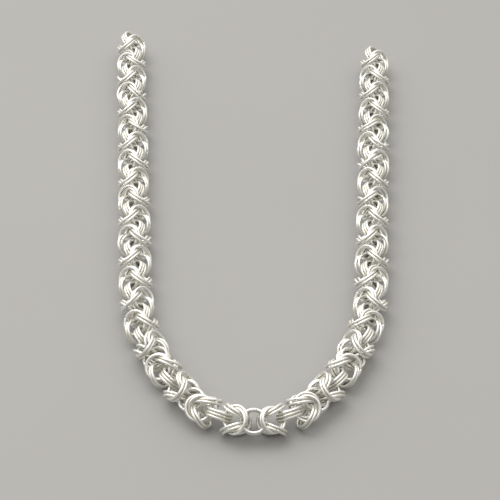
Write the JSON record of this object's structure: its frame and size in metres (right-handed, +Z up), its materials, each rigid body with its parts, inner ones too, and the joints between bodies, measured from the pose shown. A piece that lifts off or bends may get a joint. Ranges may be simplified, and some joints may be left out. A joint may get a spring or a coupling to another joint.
{
  "type": "byzantine chain",
  "caption": "Round-wire byzantine chain for a necklace, lying in a U with both ends free: bundles of side-by-side rings join knots of paired rings folded back over their neighbours.",
  "frame": {"origin": "under the middle of the whole length, on the surface that the chain lies on", "axes": "+Z up from the surface, +Y along the two legs from the front of the U towards the free ends, +X to the right seen from the front"},
  "size_m": [0.1032, 0.2188, 0.0106],
  "materials": {
    "silver": "bright satin silver, drawn round wire"
  },
  "bodies": {
    "root": {"end_link_left": "silver", "chain_left": "silver", "chain_right": "silver", "end_link_right": "silver"}
  },
  "joints": []
}
